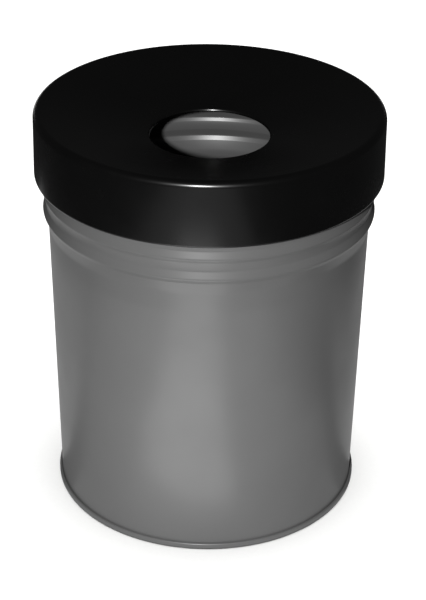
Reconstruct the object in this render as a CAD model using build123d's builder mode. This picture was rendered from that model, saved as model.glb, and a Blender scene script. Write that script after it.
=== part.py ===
from build123d import *
import os
from math import cos, radians, sin, tan

# Round self-extinguishing waste bin: a tapered steel body with two beads under a wider collar, a
# double-seamed base and a rolled rim, and a loose aluminium head that sits over the rim. The origin is
# the centre of the base on the floor and +Z is up. Millimetres. Every sheet-metal piece is the centre
# line of its sheet, given the sheet's thickness and turned about Z.

# ---- whole bin -------------------------------------------------------------------------------------
OVERALL_HEIGHT = 379.0
STEEL = 0.8  # sheet of the body and the base
ALUMINIUM = 1.2  # sheet of the head
FOLD_GAP = 0.1  # air between the layers of a fold
BODY_TO_HEAD = 0.3  # air between the rolled rim and the underside of the funnel that rests on it

# ---- steel body ------------------------------------------------------------------------------------
BODY_RADIUS_BASE = 140.7  # outside, just above the base seam
BODY_RADIUS_BEADS = 146.1  # outside, where the taper ends under the lower bead
COLLAR_RADIUS = 148.5  # outside, between the beads and from there to the rim
TAPER_START = 11.0
BEAD_HEIGHTS = (285.1, 304.1)
BEAD_APEX_RADIUS = 151.1  # outside, where the flanks beside a bead's crest would meet
BEAD_STEEP_DEPTHS = (2.3, 1.7)  # how far each bead drops in steeply, under its crest
BEAD_SLOPE_STEEP = radians(28.0)  # leans from the vertical
BEAD_SLOPE_FOOT = radians(14.0)
BEAD_SLOPE_ABOVE = radians(20.0)
BEAD_CREST_BLEND = 3.0
BEAD_KNEE_BLEND = 3.0
BEAD_FOOT_BLEND = 22.0
BEAD_TOP_BLEND = 4.0
TAPER_BLEND = 60.0
RIM_WIRE_RADIUS = 2.0
RIM_WIRE_GAP = 0.05
RIM_CURL_ANGLE = 300.0

# ---- base and its double seam ----------------------------------------------------------------------
SEAM_HOOK_LENGTH = 2.5
SEAM_FOOT_BEND = 1.4  # leaves a narrow flat ring that the bin stands on
BASE_FLOOR_HEIGHT = 10.0
BASE_CORNER_RADIUS = 3.0
BASE_STEP_RADIUS = 112.0  # foot of the step that stiffens the floor
BASE_STEP_RISE = 2.5
BASE_STEP_RUN = 4.0
BASE_STEP_BLEND = 1.5
SEALANT_GAP = 0.05
SEALANT_RISE = 3.0  # how far the compound climbs the wall above the floor
SEALANT_REACH = 3.4  # how far it runs in over the floor

# ---- aluminium head --------------------------------------------------------------------------------
HEAD_RADIUS_TOP = 157.2  # outside, at the crest
HEAD_RADIUS_MOUTH = 157.9  # outside, just above the turned-in edge
HEAD_MOUTH_HEIGHT = 318.8
HEAD_CREST_RADIUS = 5.6  # outside of the rounded shoulder
HEAD_HEM_RADIUS = 1.8
HEAD_HEM_DEPTH = 3.2
FUNNEL_SLOPE = radians(14.5)
HOLE_RADIUS = 53.9
HOLE_EDGE_RADIUS = 2.4
HOLE_LIP_DEPTH = 2.2

# ---- worked out from the above ---------------------------------------------------------------------
fold_radius = STEEL + FOLD_GAP  # centre line of a sheet folded back over one layer of sheet
collar_radius = COLLAR_RADIUS - STEEL / 2
body_shoulder_radius = BODY_RADIUS_BEADS - STEEL / 2
bead_apex_radius = BEAD_APEX_RADIUS - STEEL / 2
body_foot_radius = BODY_RADIUS_BASE - STEEL / 2
base_hook_radius = body_foot_radius + fold_radius
body_hook_radius = base_hook_radius + fold_radius
seam_outer_radius = body_hook_radius + fold_radius
base_wall_radius = body_foot_radius - fold_radius
seam_fold_height = 2 * fold_radius + STEEL / 2  # centre of the body's fold
seam_crown_height = seam_fold_height + SEAM_HOOK_LENGTH

head_wall_radius = HEAD_RADIUS_TOP - ALUMINIUM / 2
head_mouth_radius = HEAD_RADIUS_MOUTH - ALUMINIUM / 2
head_crest_radius = HEAD_CREST_RADIUS - ALUMINIUM / 2
head_crest_height = OVERALL_HEIGHT - HEAD_CREST_RADIUS
head_corner_height = head_crest_height + head_crest_radius * (1 / cos(FUNNEL_SLOPE) + tan(FUNNEL_SLOPE))
hole_wall_radius = HOLE_RADIUS + ALUMINIUM / 2
hole_corner_height = head_corner_height - (head_wall_radius - hole_wall_radius) * tan(FUNNEL_SLOPE)

rim_curl_radius = RIM_WIRE_RADIUS + RIM_WIRE_GAP + STEEL / 2
rim_centre_radius = collar_radius + rim_curl_radius
rim_reach = head_crest_radius - ALUMINIUM / 2 - BODY_TO_HEAD - rim_curl_radius - STEEL / 2
rim_offset = rim_centre_radius - (head_wall_radius - head_crest_radius)
rim_height = head_crest_height + (rim_reach + rim_offset * sin(FUNNEL_SLOPE)) / cos(FUNNEL_SLOPE)

UP = (0, 1)
DOWN = (0, -1)

os.makedirs("parts", exist_ok=True)


def bead_points(height, radius_below, steep_depth):
    """Foot, knee, apex and top of one bead, from the wall below it to the collar above it."""
    knee = (bead_apex_radius - steep_depth, height - steep_depth / tan(BEAD_SLOPE_STEEP))
    foot_fall = (knee[0] - radius_below) / tan(BEAD_SLOPE_FOOT)
    rise = (bead_apex_radius - collar_radius) / tan(BEAD_SLOPE_ABOVE)
    return [
        (radius_below, knee[1] - foot_fall),
        knee,
        (bead_apex_radius, height),
        (collar_radius, height + rise),
    ]


def save(builder, label):
    """Label a finished piece and write it to its own file."""
    builder.part.label = label
    export_step(builder.part, f"parts/{label}.step")


# Body: a hook folded out and up inside the base seam, the tapered wall, the beads, the collar and
# the rolled rim.
with BuildPart() as body_shell:
    with BuildSketch(Plane.XZ):
        with BuildLine():
            body_hook = Line((body_hook_radius, seam_crown_height), (body_hook_radius, seam_fold_height))
            body_fold = JernArc(body_hook @ 1, DOWN, fold_radius, -180)
            bead_blends = [BEAD_FOOT_BLEND, BEAD_KNEE_BLEND, BEAD_CREST_BLEND, BEAD_TOP_BLEND]
            wall = FilletPolyline(
                body_fold @ 1,
                (body_foot_radius, TAPER_START),
                *bead_points(BEAD_HEIGHTS[0], body_shoulder_radius, BEAD_STEEP_DEPTHS[0]),
                *bead_points(BEAD_HEIGHTS[1], collar_radius, BEAD_STEEP_DEPTHS[1]),
                (collar_radius, rim_height),
                radius=[TAPER_BLEND, *bead_blends, *bead_blends],
            )
            JernArc(wall @ 1, UP, rim_curl_radius, -RIM_CURL_ANGLE)
        trace(line_width=STEEL)
    revolve(axis=Axis.Z)
save(body_shell, "body_shell")

# Wire that the rim is rolled round.
with BuildPart() as rim_wire:
    with BuildSketch(Plane.XZ):
        with Locations((rim_centre_radius, rim_height)):
            Circle(RIM_WIRE_RADIUS)
    revolve(axis=Axis.Z)
save(rim_wire, "rim_wire")

# Base: a hook between the body's wall and its hook, the outside and the foot of the seam, then up
# inside the wall to a floor that stands clear of the ground, with a raised middle.
with BuildPart() as bottom_pan:
    with BuildSketch(Plane.XZ):
        with BuildLine():
            base_hook = Line((base_hook_radius, seam_fold_height), (base_hook_radius, seam_crown_height))
            crown = JernArc(base_hook @ 1, UP, fold_radius, -180)
            FilletPolyline(
                crown @ 1,
                (seam_outer_radius, STEEL / 2),
                (base_wall_radius, STEEL / 2),
                (base_wall_radius, BASE_FLOOR_HEIGHT),
                (BASE_STEP_RADIUS, BASE_FLOOR_HEIGHT),
                (BASE_STEP_RADIUS - BASE_STEP_RUN, BASE_FLOOR_HEIGHT + BASE_STEP_RISE),
                (0, BASE_FLOOR_HEIGHT + BASE_STEP_RISE),
                radius=[SEAM_FOOT_BEND] * 2 + [BASE_CORNER_RADIUS] + [BASE_STEP_BLEND] * 2,
            )
        trace(line_width=STEEL)
    revolve(axis=Axis.Z)
save(bottom_pan, "bottom_pan")

# Sealing compound run round the inside, in the groove between the base's corner and the body's wall.
with BuildPart() as seam_sealant:
    with BuildSketch(Plane.XZ):
        with BuildLine():
            bed_radius = BASE_CORNER_RADIUS + STEEL / 2 + SEALANT_GAP
            centre_sum = base_wall_radius + BASE_FLOOR_HEIGHT - 2 * BASE_CORNER_RADIUS
            bed_sum = centre_sum + bed_radius * 2**0.5  # radius plus height, anywhere on the bed
            back = body_foot_radius - STEEL / 2 - SEALANT_GAP
            floor = BASE_FLOOR_HEIGHT + STEEL / 2 + SEALANT_GAP
            Polyline(
                (back, bed_sum - back),
                (back, floor + SEALANT_RISE),
                (back - SEALANT_REACH, floor),
                (bed_sum - floor, floor),
                close=True,
            )
        make_face()
    revolve(axis=Axis.Z)
save(seam_sealant, "seam_sealant")

# Head: turned-in edge, drafted skirt, rounded shoulder, funnel and the hole's turned-down edge.
with BuildPart() as extinguishing_head:
    with BuildSketch(Plane.XZ):
        with BuildLine():
            hem_height = HEAD_MOUTH_HEIGHT + ALUMINIUM / 2
            FilletPolyline(
                (head_mouth_radius - HEAD_HEM_DEPTH, hem_height),
                (head_mouth_radius, hem_height),
                (head_wall_radius, head_corner_height),
                (hole_wall_radius, hole_corner_height),
                (hole_wall_radius, hole_corner_height - HOLE_LIP_DEPTH),
                radius=[HEAD_HEM_RADIUS, head_crest_radius, HOLE_EDGE_RADIUS],
            )
        trace(line_width=ALUMINIUM)
    revolve(axis=Axis.Z)
save(extinguishing_head, "extinguishing_head")
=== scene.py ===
"""Looks of a round self-extinguishing waste bin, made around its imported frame.

Every sheet-metal piece is drawn as the centre line of its sheet, turned about Z and given the sheet's
thickness. Metres, +Z up, with the origin at the centre of the base on the floor.
"""

import logging
import math
from collections.abc import Mapping, Sequence
from dataclasses import dataclass, field
from enum import Enum
from typing import Any, NamedTuple

import bpy
from mathutils import Euler, Matrix, Vector


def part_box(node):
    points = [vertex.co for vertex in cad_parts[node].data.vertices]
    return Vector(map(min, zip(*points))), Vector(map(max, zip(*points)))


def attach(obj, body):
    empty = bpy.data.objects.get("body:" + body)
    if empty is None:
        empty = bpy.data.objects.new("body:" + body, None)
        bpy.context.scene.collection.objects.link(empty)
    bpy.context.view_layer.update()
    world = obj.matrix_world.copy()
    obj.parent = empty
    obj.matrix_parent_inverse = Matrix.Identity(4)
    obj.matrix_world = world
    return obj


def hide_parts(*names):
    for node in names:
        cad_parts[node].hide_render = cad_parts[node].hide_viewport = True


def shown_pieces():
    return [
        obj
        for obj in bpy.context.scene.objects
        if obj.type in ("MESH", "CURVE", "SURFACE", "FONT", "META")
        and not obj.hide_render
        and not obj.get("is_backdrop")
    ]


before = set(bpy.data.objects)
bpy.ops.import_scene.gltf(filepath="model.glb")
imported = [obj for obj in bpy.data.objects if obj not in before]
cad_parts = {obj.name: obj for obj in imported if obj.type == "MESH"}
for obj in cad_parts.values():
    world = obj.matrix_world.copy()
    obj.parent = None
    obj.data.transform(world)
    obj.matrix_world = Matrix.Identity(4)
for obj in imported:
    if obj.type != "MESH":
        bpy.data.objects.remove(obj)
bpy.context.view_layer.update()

log = logging.getLogger("waste_bin")

FULL_TURN = 2 * math.pi
AROUND = 256  # steps of a sheet's full turn
BEND_STEP = math.radians(6)  # turn of one step along a bend
WELD_DISTANCE = 1e-6  # points nearer than this are one point
NEW_EDGE = 1e-3  # side of the plane that a wire is started from
SHARP_EDGE = math.radians(50)  # a sheet's cut edges are sharper than this
SMOOTH_LIMIT = math.radians(35)  # faces that meet at less than this are shaded as one surface


class Body(Enum):
    """The bodies of the frame that a piece can ride on."""

    BIN = "bin"
    HEAD = "head"


class Slot(Enum):
    """The record's material slots."""

    BODY_COATING = "body_coating"
    HEAD_COATING = "head_coating"
    BARE_WIRE = "bare_wire"
    SEALING_COMPOUND = "sealing_compound"


# ---- making and handing over a piece ---------------------------------------------------------------


class Corner(NamedTuple):
    """One corner of a sheet's centre line: its place, and the radius that it is bent to."""

    radius: float
    height: float
    bend: float = 0.0


class SheetPen:
    """Draws the centre line of a sheet as a wire in the XZ plane, run by run and bend by bend.

    A heading is counted to the left from the outward direction, seen with X to the right and Z up.
    """

    def __init__(self, name: str, start: Corner, heading: float = 0.0) -> None:
        """Start a wire.

        Args:
            name: name of the piece that the wire becomes.
            start: where the wire starts.
            heading: the way that its first run goes.
        """
        bpy.ops.object.select_all(action="DESELECT")
        bpy.ops.mesh.primitive_plane_add(size=NEW_EDGE, location=(start.radius, 0, start.height))
        bpy.ops.object.transform_apply(location=True, rotation=True, scale=True)
        self.piece = bpy.context.object
        self.piece.name = self.piece.data.name = name
        self.place = Vector((start.radius, start.height))
        self.heading = heading
        bpy.ops.object.mode_set(mode="EDIT")
        bpy.ops.mesh.select_mode(type="VERT")
        bpy.ops.mesh.select_all(action="SELECT")
        bpy.ops.mesh.merge(type="CENTER")

    def run(self, length: float) -> None:
        """Draw a straight run.

        Args:
            length: length of the run along the heading.
        """
        step = Vector((math.cos(self.heading), math.sin(self.heading))) * length
        bpy.ops.mesh.extrude_vertices_move(TRANSFORM_OT_translate={"value": (step.x, 0, step.y)})
        self.place += step

    def bend(self, turn: float, radius: float) -> None:
        """Draw a round bend.

        Args:
            turn: angle of the bend, positive to the left.
            radius: radius of the bend at the centre line.
        """
        left = Vector((-math.sin(self.heading), math.cos(self.heading)))
        centre = self.place + left * math.copysign(radius, turn)
        bpy.ops.mesh.spin(
            steps=max(2, round(abs(turn) / BEND_STEP)),
            angle=turn,
            center=(centre.x, 0, centre.y),
            axis=(0, 1, 0),
        )
        self.place = centre + Matrix.Rotation(turn, 2) @ (self.place - centre)
        self.heading += turn

    def follow(self, corners: Sequence[Corner]) -> None:
        """Run from corner to corner, bend at each of them and stop at the last.

        Args:
            corners: the corners still to come.
        """
        for corner, after in zip(corners, corners[1:]):
            arriving = Vector(corner[:2]) - self.place
            leaving = Vector(after[:2]) - Vector(corner[:2])
            turn = math.remainder(
                math.atan2(leaving.y, leaving.x) - math.atan2(arriving.y, arriving.x), FULL_TURN
            )
            self.heading = math.atan2(arriving.y, arriving.x)
            self.run(arriving.length - corner.bend * math.tan(abs(turn) / 2))
            self.bend(turn, corner.bend)
        last = Vector(corners[-1][:2]) - self.place
        self.heading = math.atan2(last.y, last.x)
        self.run(last.length)

    def turn(
        self,
        thickness: float,
        cut_edge: float,
        finishes: Sequence[bpy.types.Material],
        angle: float = FULL_TURN,
    ) -> bpy.types.Object:
        """Turn the wire about Z into a sheet, close its pole and give it its thickness.

        Args:
            thickness: thickness of the sheet.
            cut_edge: width of the rounding along its cut edges.
            finishes: its finish, or that of its inside and that of its outside.
            angle: how far it is turned, starting from +X.

        Returns:
            The finished piece.
        """
        bpy.ops.mesh.select_all(action="SELECT")
        steps = max(4, round(AROUND * angle / FULL_TURN))
        bpy.ops.mesh.spin(steps=steps, angle=angle, center=(0, 0, 0), axis=(0, 0, -1))
        bpy.ops.mesh.select_all(action="SELECT")
        bpy.ops.mesh.remove_doubles(threshold=WELD_DISTANCE)
        bpy.ops.mesh.normals_make_consistent(inside=False)
        bpy.ops.object.mode_set(mode="OBJECT")
        for finish in finishes:
            self.piece.data.materials.append(finish)
        wall = self.piece.modifiers.new("sheet", "SOLIDIFY")
        wall.thickness = thickness
        wall.offset = 0
        wall.use_even_offset = True
        wall.material_offset = len(finishes) - 1
        bpy.ops.object.modifier_apply(modifier=wall.name)
        rounding = self.piece.modifiers.new("cut_edge", "BEVEL")
        rounding.width = cut_edge
        rounding.segments = 2
        rounding.limit_method = "ANGLE"
        rounding.angle_limit = SHARP_EDGE
        bpy.ops.object.modifier_apply(modifier=rounding.name)
        bpy.ops.object.shade_smooth_by_angle(angle=SMOOTH_LIMIT)
        return self.piece


def hand_over(piece: bpy.types.Object, body: Body, stands_for: str = "") -> None:
    """Tie a finished piece to the frame.

    Args:
        piece: the finished piece.
        body: the body that it rides on.
        stands_for: the frame's node that it replaces, if any.
    """
    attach(piece, body.value)
    if stands_for:
        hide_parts(stands_for)
    log.info("%s: %d faces, rides on %s", piece.name, len(piece.data.polygons), body.value)


def dress_node(node: str, material: bpy.types.Material) -> None:
    """Give a node of the frame its finish, and leave its mesh alone.

    Args:
        node: name of the node.
        material: its finish.
    """
    for material_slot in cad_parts[node].material_slots:
        material_slot.material = material
    log.info("%s: kept from the frame, finish %s", node, material.name)


# ---- finishes --------------------------------------------------------------------------------------


def hex_to_linear(code: str) -> tuple[float, float, float, float]:
    """Turn an sRGB colour into the linear one that a shader wants.

    Args:
        code: six hex digits.

    Returns:
        Red, green, blue and a full alpha, linear.
    """
    channels = [int(code[at : at + 2], 16) / 255 for at in (0, 2, 4)]
    red, green, blue = (
        value / 12.92 if value <= 0.04045 else ((value + 0.055) / 1.055) ** 2.4 for value in channels
    )
    return red, green, blue, 1.0


def add_node(
    tree: bpy.types.NodeTree,
    kind: str,
    settings: Mapping[str, Any] | None = None,
    values: Mapping[str | int, Any] | None = None,
    links: Mapping[str | int, bpy.types.NodeSocket] | None = None,
) -> bpy.types.Node:
    """Add one node with its settings and links.

    Args:
        tree: the node tree to add it to.
        kind: Blender's name for the kind of node.
        settings: attributes of the node.
        values: unlinked inputs by name or number.
        links: inputs by name or number, each with the output that feeds it.

    Returns:
        The new node.
    """
    node = tree.nodes.new(kind)
    for name, value in (settings or {}).items():
        setattr(node, name, value)
    for name, value in (values or {}).items():
        node.inputs[name].default_value = value
    for name, source in (links or {}).items():
        tree.links.new(source, node.inputs[name])
    return node


def new_tree(name: str) -> tuple[bpy.types.Material, bpy.types.NodeTree]:
    """Start an empty node material.

    Args:
        name: name of the material.

    Returns:
        The material and its empty tree.
    """
    material = bpy.data.materials.new(name)
    material.use_nodes = True
    material.node_tree.nodes.clear()
    return material, material.node_tree


@dataclass(frozen=True)
class PowderCoat:
    """Polyester powder coat, sprayed on sheet metal and melted in an oven.

    It gives the eye an even satin colour, highlights with soft edges that a fine orange peel breaks up,
    a film that is a little glossier here than there, and bare, dull patches where the bin is set down.
    """

    name: str
    colour: str
    mottle: str  # the colour that the film drifts to where it is thinner
    rubbed: str  # the colour where the foot has been rubbed on floors
    roughness: float
    index: float = 1.8  # above a resin's 1.5, which makes the highlights stronger
    rubbed_height: float = 0.0025  # how far up the foot the rubbing reaches
    peel_width: float = 0.003  # real peel is 1 to 2 mm wide; drawn wider so that it shows
    peel_height: float = 4e-6
    film_width: float = 0.07  # breadth of the slow drifts in the film
    gloss_drift: float = 0.03

    def build(self) -> bpy.types.Material:
        """Build the material.

        Returns:
            The finished material.
        """
        material, tree = new_tree(self.name)
        place = add_node(tree, "ShaderNodeTexCoord").outputs["Object"]
        film = add_node(
            tree,
            "ShaderNodeTexNoise",
            values={"Scale": 1 / self.film_width, "Detail": 3.0, "Roughness": 0.55},
            links={"Vector": place},
        )
        peel = add_node(
            tree,
            "ShaderNodeTexNoise",
            values={"Scale": 1 / self.peel_width, "Detail": 1.5, "Roughness": 0.4},
            links={"Vector": place},
        )
        drift = add_node(
            tree,
            "ShaderNodeMapRange",
            values={"From Min": 0.35, "From Max": 0.65},
            links={"Value": film.outputs["Fac"]},
        )
        coat = add_node(
            tree,
            "ShaderNodeMix",
            {"data_type": "RGBA"},
            {6: hex_to_linear(self.colour), 7: hex_to_linear(self.mottle)},
            {0: drift.outputs["Result"]},
        )
        height = add_node(tree, "ShaderNodeSeparateXYZ", links={0: place}).outputs["Z"]
        foot = add_node(
            tree,
            "ShaderNodeMapRange",
            values={"From Min": self.rubbed_height, "From Max": 0.0},
            links={"Value": height},
        )
        scuffs = add_node(
            tree,
            "ShaderNodeMath",
            {"operation": "MULTIPLY", "use_clamp": True},
            links={0: foot.outputs["Result"], 1: peel.outputs["Fac"]},
        )
        colour = add_node(
            tree,
            "ShaderNodeMix",
            {"data_type": "RGBA"},
            {7: hex_to_linear(self.rubbed)},
            {0: scuffs.outputs[0], 6: coat.outputs[2]},
        )
        gloss = add_node(
            tree,
            "ShaderNodeMapRange",
            values={
                "From Min": 0.35,
                "From Max": 0.65,
                "To Min": self.roughness - self.gloss_drift,
                "To Max": self.roughness + self.gloss_drift,
            },
            links={"Value": film.outputs["Fac"]},
        )
        bump = add_node(
            tree,
            "ShaderNodeBump",
            values={"Strength": 1.0, "Distance": self.peel_height},
            links={"Height": peel.outputs["Fac"]},
        )
        shader = add_node(
            tree,
            "ShaderNodeBsdfPrincipled",
            values={"IOR": self.index},
            links={
                "Base Color": colour.outputs[2],
                "Roughness": gloss.outputs["Result"],
                "Normal": bump.outputs["Normal"],
            },
        )
        add_node(tree, "ShaderNodeOutputMaterial", links={"Surface": shader.outputs["BSDF"]})
        return material


@dataclass(frozen=True)
class DrawnWire:
    """Bright steel wire, drawn through a die.

    It gives the eye a metal sheen with fine lines along the wire and a brownish film of drawing soap.
    """

    name: str = "drawn_steel_wire"
    bright: str = "B9B6AE"
    soap: str = "8F887B"
    roughness: float = 0.34
    line_width: float = 0.0004
    wave_length: float = 0.3  # of the wave texture at scale 1
    line_height: float = 3e-6
    film_width: float = 0.02

    def build(self) -> bpy.types.Material:
        """Build the material.

        Returns:
            The finished material.
        """
        material, tree = new_tree(self.name)
        place = add_node(tree, "ShaderNodeTexCoord").outputs["Object"]
        lines = add_node(
            tree,
            "ShaderNodeTexWave",
            {"wave_type": "BANDS", "bands_direction": "Z"},
            {"Scale": self.wave_length / self.line_width, "Distortion": 2.0, "Detail": 2.0},
            {"Vector": place},
        )
        film = add_node(
            tree,
            "ShaderNodeTexNoise",
            values={"Scale": 1 / self.film_width, "Detail": 4.0},
            links={"Vector": place},
        )
        colour = add_node(
            tree,
            "ShaderNodeMix",
            {"data_type": "RGBA"},
            {6: hex_to_linear(self.bright), 7: hex_to_linear(self.soap)},
            {0: film.outputs["Fac"]},
        )
        bump = add_node(
            tree,
            "ShaderNodeBump",
            values={"Strength": 1.0, "Distance": self.line_height},
            links={"Height": lines.outputs["Fac"]},
        )
        shader = add_node(
            tree,
            "ShaderNodeBsdfPrincipled",
            values={"Metallic": 1.0, "Roughness": self.roughness},
            links={"Base Color": colour.outputs[2], "Normal": bump.outputs["Normal"]},
        )
        add_node(tree, "ShaderNodeOutputMaterial", links={"Surface": shader.outputs["BSDF"]})
        return material


@dataclass(frozen=True)
class CuredCompound:
    """Solvent-based seam compound, run into the seam and cured.

    It gives the eye a dull, rubbery dark bead with shallow pits where bubbles broke, and pale dust.
    """

    name: str = "cured_seam_compound"
    bead: str = "4A4844"
    dust: str = "6E6B66"
    roughness: float = 0.62
    pit_width: float = 0.0012
    pit_depth: float = 8e-5
    dust_width: float = 0.002

    def build(self) -> bpy.types.Material:
        """Build the material.

        Returns:
            The finished material.
        """
        material, tree = new_tree(self.name)
        place = add_node(tree, "ShaderNodeTexCoord").outputs["Object"]
        pits = add_node(
            tree,
            "ShaderNodeTexVoronoi",
            {"feature": "SMOOTH_F1"},
            {"Scale": 1 / self.pit_width, "Smoothness": 0.6},
            {"Vector": place},
        )
        dusting = add_node(
            tree,
            "ShaderNodeTexNoise",
            values={"Scale": 1 / self.dust_width, "Detail": 4.0},
            links={"Vector": place},
        )
        colour = add_node(
            tree,
            "ShaderNodeMix",
            {"data_type": "RGBA"},
            {6: hex_to_linear(self.bead), 7: hex_to_linear(self.dust)},
            {0: dusting.outputs["Fac"]},
        )
        bump = add_node(
            tree,
            "ShaderNodeBump",
            values={"Strength": 1.0, "Distance": self.pit_depth},
            links={"Height": pits.outputs["Distance"]},
        )
        shader = add_node(
            tree,
            "ShaderNodeBsdfPrincipled",
            values={"Roughness": self.roughness, "IOR": 1.48},
            links={"Base Color": colour.outputs[2], "Normal": bump.outputs["Normal"]},
        )
        add_node(tree, "ShaderNodeOutputMaterial", links={"Surface": shader.outputs["BSDF"]})
        return material


@dataclass(frozen=True)
class PaperSweep:
    """Matt background paper.

    It gives the eye a plain pale ground with a barely visible fibre.
    """

    name: str = "matt_paper"
    pale: str = "F4F4F3"
    fibre: str = "EFEFEE"
    fibre_width: float = 0.004
    roughness: float = 0.9

    def build(self) -> bpy.types.Material:
        """Build the material.

        Returns:
            The finished material.
        """
        material, tree = new_tree(self.name)
        place = add_node(tree, "ShaderNodeTexCoord").outputs["Object"]
        fibres = add_node(
            tree,
            "ShaderNodeTexNoise",
            values={"Scale": 1 / self.fibre_width, "Detail": 4.0},
            links={"Vector": place},
        )
        colour = add_node(
            tree,
            "ShaderNodeMix",
            {"data_type": "RGBA"},
            {6: hex_to_linear(self.pale), 7: hex_to_linear(self.fibre)},
            {0: fibres.outputs["Fac"]},
        )
        shader = add_node(
            tree,
            "ShaderNodeBsdfPrincipled",
            values={"Roughness": self.roughness},
            links={"Base Color": colour.outputs[2]},
        )
        add_node(tree, "ShaderNodeOutputMaterial", links={"Surface": shader.outputs["BSDF"]})
        return material


# ---- the bin ---------------------------------------------------------------------------------------


@dataclass(frozen=True)
class Seam:
    """The folded double seam that joins the base to the body."""

    steel: float = 0.0008
    fold: float = 0.0009  # centre line of a sheet folded back over one layer
    hook: float = 0.0025
    foot_bend: float = 0.0014
    cut_edge: float = 0.00012

    @property
    def outer(self) -> float:
        """Centre line of the seam's outside layer."""
        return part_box("bottom_pan")[1].x - self.steel / 2

    @property
    def body_hook(self) -> float:
        """Centre line of the hook that the body is folded out into."""
        return self.outer - self.fold

    @property
    def base_hook(self) -> float:
        """Centre line of the hook that the base is folded in over."""
        return self.outer - 2 * self.fold

    @property
    def body_foot(self) -> float:
        """Centre line of the body's wall where it leaves the seam."""
        return self.outer - 3 * self.fold

    @property
    def base_wall(self) -> float:
        """Centre line of the base's wall, inside the body's."""
        return self.outer - 4 * self.fold

    @property
    def fold_height(self) -> float:
        """Centre of the body's fold."""
        return 2 * self.fold + self.steel / 2

    @property
    def crown_height(self) -> float:
        """Centre of the base's fold, over the body's hook."""
        return self.fold_height + self.hook


@dataclass
class BinBody:
    """The steel body: seam hook, tapered wall, two beads, collar, rolled rim and side weld."""

    coat: bpy.types.Material
    # the grey coat drawn darker on the inside faces of the body and weld: painted shade for the dimmer
    # inside
    shaded_inside: bpy.types.Material
    wire: bpy.types.Material
    seam: Seam
    taper_start: float = 0.011
    shoulder: float = 0.1457  # centre line, where the taper ends under the lower bead
    bead_heights: tuple[float, float] = (0.2851, 0.3041)
    bead_apex: float = 0.1507  # centre line, where the flanks beside a crest would meet
    steep_depths: tuple[float, float] = (0.0023, 0.0017)  # how far a bead drops in under its crest
    slope_steep: float = math.radians(28)
    slope_foot: float = math.radians(14)
    slope_above: float = math.radians(20)
    crest_blend: float = 0.003
    knee_blend: float = 0.003
    foot_blend: float = 0.022
    top_blend: float = 0.004
    taper_blend: float = 0.06
    curl: float = 0.00245  # centre line of the sheet rolled round the rim wire
    curl_angle: float = math.radians(300)
    weld_width: float = 0.003
    weld_proud: float = 0.00025  # both faces together
    weld_start: float = 0.008
    weld_place: float = math.radians(20)  # from +X, round the back of the right side
    collar: float = field(init=False)
    rim_height: float = field(init=False)

    def __post_init__(self) -> None:
        """Read the rim's place from the frame."""
        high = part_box("body_shell")[1]
        self.rim_height = high.z - self.curl - self.seam.steel / 2
        self.collar = high.x - 2 * self.curl - self.seam.steel / 2

    def bead(self, height: float, below: float, depth: float) -> list[Corner]:
        """Give one bead's corners, from the wall under it to the collar over it.

        Args:
            height: height of the bead's crest.
            below: centre line of the wall under it.
            depth: how far it drops in steeply under its crest.

        Returns:
            Foot, knee, crest and top.
        """
        knee = self.bead_apex - depth
        knee_height = height - depth / math.tan(self.slope_steep)
        fall = (knee - below) / math.tan(self.slope_foot)
        rise = (self.bead_apex - self.collar) / math.tan(self.slope_above)
        return [
            Corner(below, knee_height - fall, self.foot_blend),
            Corner(knee, knee_height, self.knee_blend),
            Corner(self.bead_apex, height, self.crest_blend),
            Corner(self.collar, height + rise, self.top_blend),
        ]

    def wall(self) -> list[Corner]:
        """Give the corners of the wall, from the top of the seam to the rim.

        Returns:
            The corners from the foot upwards.
        """
        lower, upper = zip(self.bead_heights, (self.shoulder, self.collar), self.steep_depths)
        return [
            Corner(self.seam.body_foot, self.taper_start, self.taper_blend),
            *self.bead(*lower),
            *self.bead(*upper),
            Corner(self.collar, self.rim_height),
        ]

    def sheet(self) -> bpy.types.Object:
        """Make the body's sheet.

        Returns:
            The finished sheet.
        """
        start = Corner(self.seam.body_hook, self.seam.crown_height)
        pen = SheetPen("body_sheet", start, heading=-math.pi / 2)
        pen.run(self.seam.hook)
        pen.bend(-math.pi, self.seam.fold)
        pen.follow(self.wall())
        pen.bend(-self.curl_angle, self.curl)
        return pen.turn(self.seam.steel, self.seam.cut_edge, [self.shaded_inside, self.coat])

    def side_weld(self) -> bpy.types.Object:
        """Make the flat weld that closes the rolled body.

        Returns:
            The finished weld.
        """
        pen = SheetPen("side_weld", Corner(self.seam.body_foot, self.weld_start))
        pen.follow(self.wall())
        angle = self.weld_width / self.collar
        thickness = self.seam.steel + self.weld_proud
        weld = pen.turn(thickness, self.weld_proud / 3, [self.shaded_inside, self.coat], angle)
        weld.rotation_euler.z = self.weld_place - angle / 2
        bpy.ops.object.transform_apply(location=False, rotation=True, scale=False)
        return weld

    def build(self) -> None:
        """Make the body's pieces and hand them over."""
        hand_over(self.sheet(), Body.BIN, "body_shell")
        hand_over(self.side_weld(), Body.BIN)
        dress_node("rim_wire", self.wire)


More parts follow.
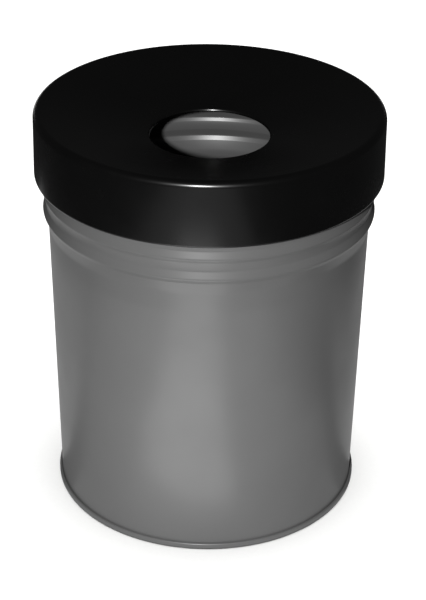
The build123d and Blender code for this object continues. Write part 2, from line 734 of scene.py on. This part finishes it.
@dataclass
class BinBase:
    """The pressed base: outside of the seam, well, floor with a raised middle, and its compound."""

    coat: bpy.types.Material
    compound: bpy.types.Material
    seam: Seam
    floor: float = 0.010
    corner_bend: float = 0.003
    step_start: float = 0.112
    step_run: float = 0.004
    step_rise: float = 0.0025
    step_bend: float = 0.0015

    def sheet(self) -> bpy.types.Object:
        """Make the base's sheet.

        Returns:
            The finished sheet.
        """
        seam = self.seam
        raised = self.floor + self.step_rise
        pen = SheetPen("base_sheet", Corner(seam.base_hook, seam.fold_height), heading=math.pi / 2)
        pen.run(seam.hook)
        pen.bend(-math.pi, seam.fold)
        pen.follow(
            [
                Corner(seam.outer, seam.steel / 2, seam.foot_bend),
                Corner(seam.base_wall, seam.steel / 2, seam.foot_bend),
                Corner(seam.base_wall, self.floor, self.corner_bend),
                Corner(self.step_start, self.floor, self.step_bend),
                Corner(self.step_start - self.step_run, raised, self.step_bend),
                Corner(0, raised),
            ]
        )
        return pen.turn(seam.steel, seam.cut_edge, [self.coat])

    def build(self) -> None:
        """Make the base and hand it over."""
        hand_over(self.sheet(), Body.BIN, "bottom_pan")
        dress_node("seam_sealant", self.compound)


@dataclass
class ExtinguishingHead:
    """The loose head: turned-in edge, drafted skirt, shoulder, funnel and the hole's lip."""

    coat: bpy.types.Material
    aluminium: float = 0.0012
    draft: float = 0.0007  # how much wider the mouth is than the top
    crest: float = 0.005  # centre line of the rounded shoulder
    hem_bend: float = 0.0018
    hem_depth: float = 0.0032
    slope: float = math.radians(14.5)
    hole: float = 0.0545  # centre line of the hole's wall
    hole_bend: float = 0.0024
    lip: float = 0.0022
    cut_edge: float = 0.0002

    def sheet(self) -> bpy.types.Object:
        """Make the head's sheet.

        Returns:
            The finished sheet.
        """
        low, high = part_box("extinguishing_head")
        mouth = high.x - self.aluminium / 2
        wall = mouth - self.draft
        hem = low.z + self.aluminium / 2
        crest_centre = high.z - self.crest - self.aluminium / 2
        top = crest_centre + self.crest * (1 / math.cos(self.slope) + math.tan(self.slope))
        hole_top = top - (wall - self.hole) * math.tan(self.slope)
        pen = SheetPen("head_sheet", Corner(mouth - self.hem_depth, hem))
        pen.follow(
            [
                Corner(mouth, hem, self.hem_bend),
                Corner(wall, top, self.crest),
                Corner(self.hole, hole_top, self.hole_bend),
                Corner(self.hole, hole_top - self.lip),
            ]
        )
        return pen.turn(self.aluminium, self.cut_edge, [self.coat])

    def build(self) -> None:
        """Make the head and hand it over."""
        hand_over(self.sheet(), Body.HEAD, "extinguishing_head")


# ---- the studio ------------------------------------------------------------------------------------


class Lit(Enum):
    """What a light falls on."""

    BIN = "bin"
    FLOOR = "floor"


@dataclass(frozen=True)
class SoftLight:
    """One soft light that looks at a point."""

    name: str
    place: tuple[float, float, float]
    target: tuple[float, float, float]
    size: tuple[float, float]
    watts: float
    lit: Lit = Lit.BIN
    shape: str = "RECTANGLE"

    def build(self, lit: Mapping[Lit, bpy.types.Collection]) -> None:
        """Put the light in the scene, out of the camera's sight.

        Args:
            lit: the collection of each choice of what a light falls on.
        """
        aim = Vector(self.target) - Vector(self.place)
        turn = aim.to_track_quat("-Z", "Y").to_euler()
        bpy.ops.object.light_add(type="AREA", location=self.place, rotation=turn)
        lamp = bpy.context.object
        lamp.name = lamp.data.name = self.name
        lamp.data.shape = self.shape
        lamp.data.size, lamp.data.size_y = self.size
        lamp.data.energy = self.watts
        lamp.visible_camera = False
        lamp.light_linking.receiver_collection = lit[self.lit]


def floor_card(
    name: str,
    place: tuple[float, float, float],
    size: tuple[float, float],
    watts: float,
    shape: str = "RECTANGLE",
) -> SoftLight:
    """Lay a light flat on the floor, facing up, for the bin to mirror as lit paper.

    Args:
        name: name of the light.
        place: middle of the card.
        size: how wide and how long it is.
        watts: its power.
        shape: its outline.

    Returns:
        The light.
    """
    above = (place[0], place[1], 1.0)
    return SoftLight(name, place, above, size, watts, shape=shape)


def studio_lights() -> list[SoftLight]:
    """Choose the lights: a small hard key, cards that stand for lit paper, and a fill for the floor.

    Returns:
        The lights.
    """
    middle = (0.0, 0.0, 0.2)
    return [
        SoftLight("key", (-0.145, -1.5227, 1.0301), middle, (0.05, 0.05), 17.0, shape="DISK"),
        floor_card("front_paper", (-0.06, -0.46, 0.002), (0.24, 0.5), 0.38),
        floor_card("near_paper", (-0.1, -0.3, 0.001), (0.8, 0.5), 0.2),
        floor_card("wide_paper", (-0.08, -0.7, 0.001), (0.8, 3.2), 1.1, "ELLIPSE"),
        floor_card("back_paper", (-0.05, 0.25, 0.002), (1.0, 0.5), 0.6),
        SoftLight("rear_low", (-0.1, 1.5, 0.2), middle, (1.6, 0.3), 1.2),
        SoftLight("overhead", (0.0, 0.0, 2.5), (0.0, 0.0, 0.0), (8.0, 8.0), 440.0, lit=Lit.FLOOR),
    ]


@dataclass
class Studio:
    """A pale sheet of paper on the floor, soft lights and the camera."""

    paper: bpy.types.Material
    lights: Sequence[SoftLight]
    paper_size: float = 14.0
    camera_place: tuple[float, float, float] = (0.0, -1.5227, 1.0301)
    camera_pitch: float = 0.50772  # below the horizon
    camera_yaw: float = 0.00317  # to the right of +Y
    camera_roll: float = 0.01293
    focal_length: float = 111.37  # millimetres, on the default 36 mm sensor
    surroundings: float = 0.022
    backdrop: float = 0.8

    def floor(self) -> bpy.types.Object:
        """Lay the paper: a plane whose edges are turned down, so that it has no bare rim.

        Returns:
            The finished paper, which the bin neither reflects nor takes light from.
        """
        bpy.ops.object.select_all(action="DESELECT")
        bpy.ops.mesh.primitive_plane_add(size=self.paper_size)
        paper = bpy.context.object
        paper.name = paper.data.name = "paper_floor"
        bpy.ops.object.mode_set(mode="EDIT")
        bpy.ops.mesh.select_all(action="SELECT")
        bpy.ops.mesh.subdivide(number_cuts=15)
        bpy.ops.mesh.select_mode(type="EDGE")
        bpy.ops.mesh.region_to_loop()
        bpy.ops.mesh.extrude_edges_move(TRANSFORM_OT_translate={"value": (0, 0, -0.01)})
        bpy.ops.object.mode_set(mode="OBJECT")
        paper.data.materials.append(self.paper)
        paper.visible_glossy = False
        paper.visible_diffuse = False
        paper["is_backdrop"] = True
        return paper

    def camera(self) -> None:
        """Set up the camera."""
        bpy.ops.object.camera_add(location=self.camera_place)
        camera = bpy.context.object
        level = Euler((math.pi / 2 - self.camera_pitch, 0, -self.camera_yaw)).to_matrix()
        camera.rotation_euler = (level @ Matrix.Rotation(self.camera_roll, 3, "Z")).to_euler()
        camera.data.lens = self.focal_length
        bpy.context.scene.camera = camera

    def world(self) -> None:
        """Make the surroundings: pale where they are seen, dim where they light the bin."""
        world = bpy.data.worlds.new("studio")
        world.use_nodes = True
        tree = world.node_tree
        tree.nodes.clear()
        ray = add_node(tree, "ShaderNodeLightPath")
        strength = add_node(
            tree,
            "ShaderNodeMapRange",
            values={"To Min": self.surroundings, "To Max": self.backdrop},
            links={"Value": ray.outputs["Is Camera Ray"]},
        )
        background = add_node(
            tree,
            "ShaderNodeBackground",
            values={"Color": (1.0, 1.0, 1.0, 1.0)},
            links={"Strength": strength.outputs["Result"]},
        )
        add_node(tree, "ShaderNodeOutputWorld", links={"Surface": background.outputs["Background"]})
        bpy.context.scene.world = world

    def build(self) -> None:
        """Set up the whole studio."""
        lit = {choice: bpy.data.collections.new(f"lit_{choice.value}") for choice in Lit}
        lit[Lit.FLOOR].objects.link(self.floor())
        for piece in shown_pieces():
            lit[Lit.BIN].objects.link(piece)
        self.camera()
        self.world()
        for light in self.lights:
            light.build(lit)
        bpy.context.scene.view_settings.view_transform = "Standard"


def main() -> None:
    """Build the bin and its studio."""
    logging.basicConfig(level=logging.INFO, format="%(message)s")
    grey = PowderCoat("grey_powder_coat", "848484", "818181", "6A6A69", roughness=0.34).build()
    # the same grey coat drawn darker, for the inside faces of the body and weld: painted shade for the
    # dimmer inside of the bin
    shaded_grey = PowderCoat("grey_powder_coat_shaded_inside", "6E6E6E", "6B6B6B", "5A5A59", roughness=0.34).build()
    black = PowderCoat("black_powder_coat", "080808", "090909", "141414", roughness=0.26).build()
    seam = Seam()
    BinBody(grey, shaded_grey, DrawnWire().build(), seam).build()
    BinBase(grey, CuredCompound().build(), seam).build()
    ExtinguishingHead(black).build()
    Studio(PaperSweep().build(), studio_lights()).build()


if __name__ == "__main__":
    main()
